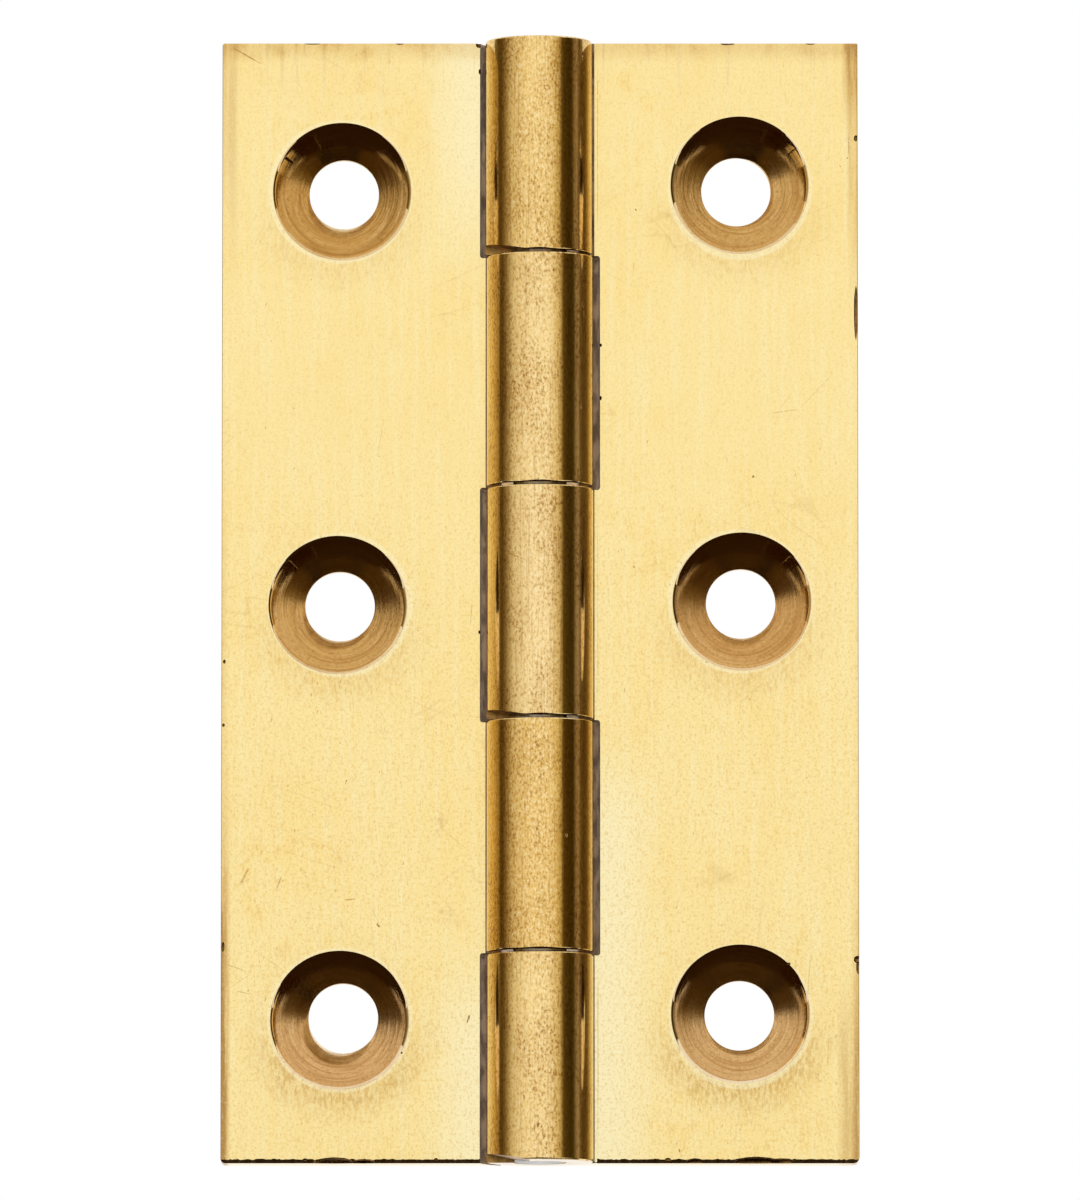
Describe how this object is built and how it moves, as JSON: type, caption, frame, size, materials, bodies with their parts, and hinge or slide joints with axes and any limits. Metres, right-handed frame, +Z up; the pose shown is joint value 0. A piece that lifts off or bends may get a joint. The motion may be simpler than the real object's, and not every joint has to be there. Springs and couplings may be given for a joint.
{
  "type": "solid drawn butt hinge",
  "caption": "Narrow solid drawn brass butt hinge, opened flat, with plain square-cornered leaves, interlocking knuckles on a flush pin and countersunk screw holes.",
  "frame": {"origin": "on the pin's axis, halfway up the hinge", "axes": "+Z up along the pin, +X towards the leaf fixed to the frame, -Y out of the two faces that meet when the hinge is shut"},
  "size_m": [0.043, 0.0072, 0.076],
  "materials": {
    "frame_leaf_brass": "drawn and linished, unlacquered, lightly tarnished",
    "door_leaf_brass": "drawn and linished, unlacquered, lightly tarnished",
    "pin_steel": "drawn wire, ends linished flush with the barrel"
  },
  "bodies": {
    "frame_side": {"frame_leaf": "frame_leaf_brass", "hinge_pin": "pin_steel"},
    "door_side": {"door_leaf": "door_leaf_brass"}
  },
  "joints": [
    {"name": "leaf_swing", "type": "hinge", "parent": "frame_side", "child": "door_side", "pos_m": [0, 0, 0], "axis": [0, 0, 1], "range_deg": [-75, 180]}
  ]
}
